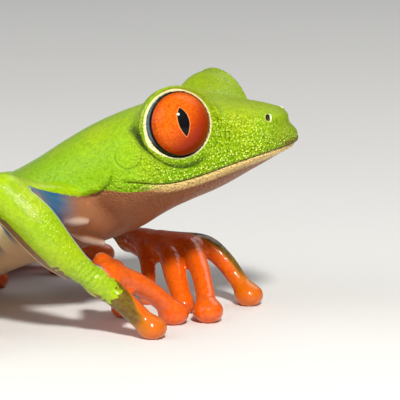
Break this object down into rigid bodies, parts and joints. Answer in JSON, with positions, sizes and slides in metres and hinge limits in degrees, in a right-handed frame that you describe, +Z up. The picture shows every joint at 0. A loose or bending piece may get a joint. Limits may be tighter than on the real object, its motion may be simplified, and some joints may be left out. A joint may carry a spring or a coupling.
{
  "type": "red-eyed tree frog",
  "caption": "Life-size still model of a green tree frog with red eyes, sitting low with its chest raised on both hands.",
  "frame": {"origin": "on the floor, under the middle of the frog's bounding box", "axes": "+X is where the snout points, +Y is the frog's left, +Z is up"},
  "size_m": [0.0596, 0.059, 0.0268],
  "materials": {
    "skin_green": "moist lime-green skin with a fine grain",
    "skin_blue": "smooth blue skin",
    "skin_cream": "smooth cream skin of the jaw and throat",
    "skin_orange": "moist orange skin of hands and feet",
    "eye": "glossy red eye with an upright black pupil"
  },
  "bodies": {
    "root": {"eye_left": "eye", "eye_right": "eye", "foot_left": "skin_orange", "foot_right": "skin_orange", "forearm_left": "skin_green", "forearm_right": "skin_green", "hand_left": "skin_orange", "hand_right": "skin_orange", "head": "skin_green", "lower_jaw": "skin_cream", "shank_left": "skin_green", "shank_right": "skin_green", "tarsus_left": "skin_orange", "tarsus_right": "skin_orange", "thigh_left": "skin_blue", "thigh_right": "skin_blue", "trunk": "skin_green", "upper_arm_left": "skin_blue", "upper_arm_right": "skin_blue"}
  },
  "joints": []
}
